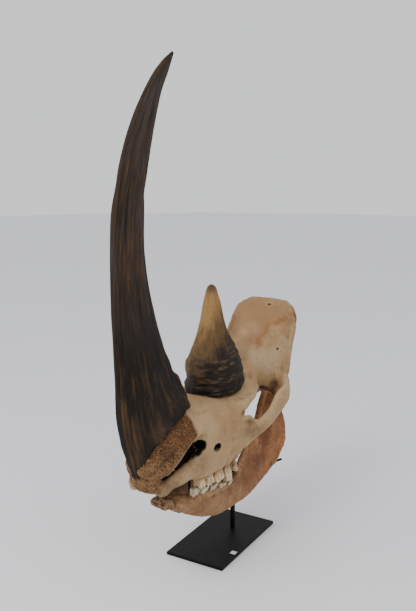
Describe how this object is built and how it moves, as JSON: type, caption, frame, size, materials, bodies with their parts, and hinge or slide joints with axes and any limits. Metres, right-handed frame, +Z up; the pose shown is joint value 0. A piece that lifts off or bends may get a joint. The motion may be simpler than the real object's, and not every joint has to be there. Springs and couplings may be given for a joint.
{
  "type": "mounted woolly rhinoceros skull",
  "caption": "Woolly rhinoceros skull with lower jaw, cheek teeth and two upright horns, held by a slim black steel armature on a flat rectangular base plate.",
  "frame": {"origin": "centre of the base plate's underside", "axes": "+X to the animal's left, +Y to the back of the skull so the nose points to -Y, +Z up"},
  "size_m": [0.3516, 0.8758, 1.5109],
  "materials": {
    "cranium_bone": "dry cream bone with tan and orange-brown stains, matte",
    "mandible_bone": "orange-brown stained bone, matte",
    "front_horn_keratin": "very dark brown fibrous horn, matte",
    "rear_horn_keratin": "olive to golden brown fibrous horn, darker and wrinkled at the foot",
    "tooth_enamel": "ivory enamel, satin",
    "black_steel": "satin black paint"
  },
  "bodies": {
    "root": {"cranium": "cranium_bone", "mandible": "mandible_bone", "front_horn": "front_horn_keratin", "rear_horn": "rear_horn_keratin", "base_plate": "black_steel", "post": "black_steel", "jaw_bar": "black_steel", "jaw_arms": "black_steel", "palate_rod": "black_steel", "upper_tooth_left_1": "tooth_enamel", "upper_tooth_left_2": "tooth_enamel", "upper_tooth_left_3": "tooth_enamel", "upper_tooth_left_4": "tooth_enamel", "upper_tooth_left_5": "tooth_enamel", "upper_tooth_right_1": "tooth_enamel", "upper_tooth_right_2": "tooth_enamel", "upper_tooth_right_3": "tooth_enamel", "upper_tooth_right_4": "tooth_enamel", "upper_tooth_right_5": "tooth_enamel", "lower_tooth_left_1": "tooth_enamel", "lower_tooth_left_2": "tooth_enamel", "lower_tooth_left_3": "tooth_enamel", "lower_tooth_left_4": "tooth_enamel", "lower_tooth_left_5": "tooth_enamel", "lower_tooth_right_1": "tooth_enamel", "lower_tooth_right_2": "tooth_enamel", "lower_tooth_right_3": "tooth_enamel", "lower_tooth_right_4": "tooth_enamel", "lower_tooth_right_5": "tooth_enamel"}
  },
  "joints": []
}
